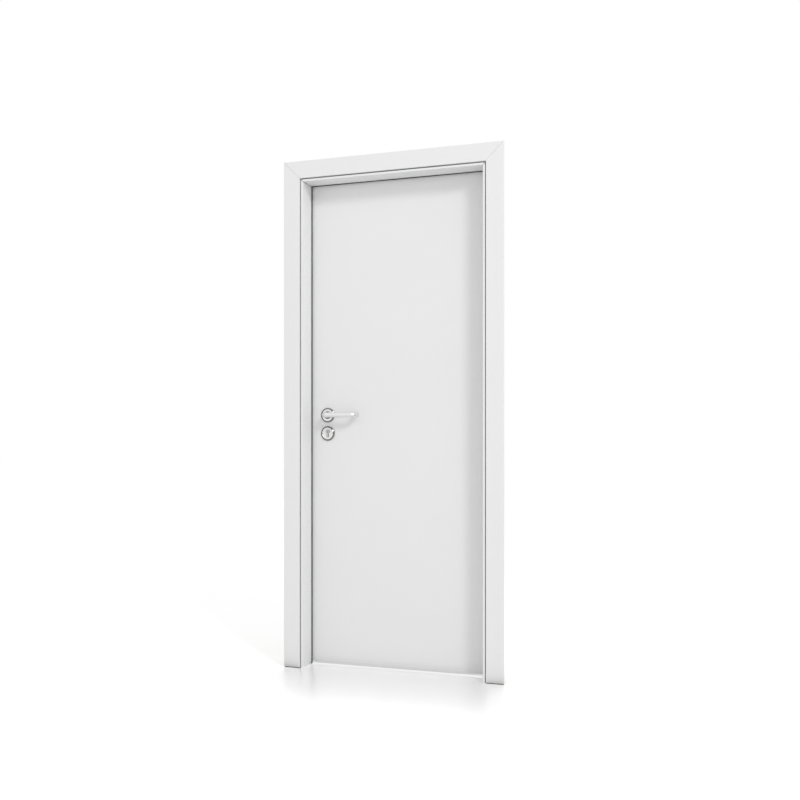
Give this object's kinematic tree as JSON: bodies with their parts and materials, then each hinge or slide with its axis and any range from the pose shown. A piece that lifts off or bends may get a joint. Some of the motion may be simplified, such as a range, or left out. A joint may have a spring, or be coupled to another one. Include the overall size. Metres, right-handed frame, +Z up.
{
  "type": "prehung interior door",
  "caption": "Prehung interior door: white flush leaf hinged in a rebated frame with flat mitred casings, round returned lever handles and round key roses.",
  "frame": {"origin": "on the hinge jamb's wall face, at floor level, in the plane of the wall's near face", "axes": "+X out of the hinge jamb into the wall, +Y through the wall to the side the leaf opens to, +Z up"},
  "size_m": [0.976, 0.2075, 2.188],
  "materials": {
    "frame_lacquer": "white satin lacquer on fibreboard",
    "casing_lacquer": "white satin lacquer on fibreboard",
    "leaf_lacquer": "white satin lacquer",
    "core_board": "raw light filling board",
    "seal_rubber": "dark matt rubber",
    "hinge_steel": "satin",
    "lock_steel": "satin",
    "cylinder_nickel": "satin nickel",
    "lever_steel": "satin"
  },
  "bodies": {
    "frame": {"hinge_jamb": "frame_lacquer", "strike_jamb": "frame_lacquer", "head_jamb": "frame_lacquer", "hinge_stop": "frame_lacquer", "strike_stop": "frame_lacquer", "head_stop": "frame_lacquer", "casing_hinge_side": "casing_lacquer", "casing_strike_side": "casing_lacquer", "casing_head": "casing_lacquer", "seal_hinge_side": "seal_rubber", "seal_strike_side": "seal_rubber", "seal_head": "seal_rubber", "strike_plate": "lock_steel", "upper_hinge_frame_plate": "hinge_steel", "middle_hinge_frame_plate": "hinge_steel", "lower_hinge_frame_plate": "hinge_steel", "upper_hinge_pin": "hinge_steel", "middle_hinge_pin": "hinge_steel", "lower_hinge_pin": "hinge_steel"},
    "leaf": {"front_skin": "leaf_lacquer", "back_skin": "leaf_lacquer", "lock_stile": "leaf_lacquer", "hinge_stile": "leaf_lacquer", "top_rail": "leaf_lacquer", "bottom_rail": "leaf_lacquer", "leaf_core": "core_board", "lock_case": "lock_steel", "lock_forend": "lock_steel", "latch_bolt": "lock_steel", "dead_bolt": "lock_steel", "lock_cylinder": "cylinder_nickel", "front_rose": "lever_steel", "back_rose": "lever_steel", "front_key_rose": "lever_steel", "back_key_rose": "lever_steel", "upper_hinge_leaf_plate": "hinge_steel", "middle_hinge_leaf_plate": "hinge_steel", "lower_hinge_leaf_plate": "hinge_steel"},
    "handle": {"front_lever": "lever_steel", "back_lever": "lever_steel", "spindle": "lock_steel"}
  },
  "joints": [
    {"name": "leaf_swing", "type": "hinge", "parent": "frame", "child": "leaf", "pos_m": [-0.0295, 0.14, 1.06], "axis": [0, 0, -1], "range_deg": [0, 170]},
    {"name": "lever_turn", "type": "hinge", "parent": "leaf", "child": "handle", "pos_m": [-0.7685, 0.112, 1.093], "axis": [0, 1, 0], "range_deg": [0, 40], "stiffness_Nm_per_rad": 2, "springref_deg": -28.65}
  ]
}
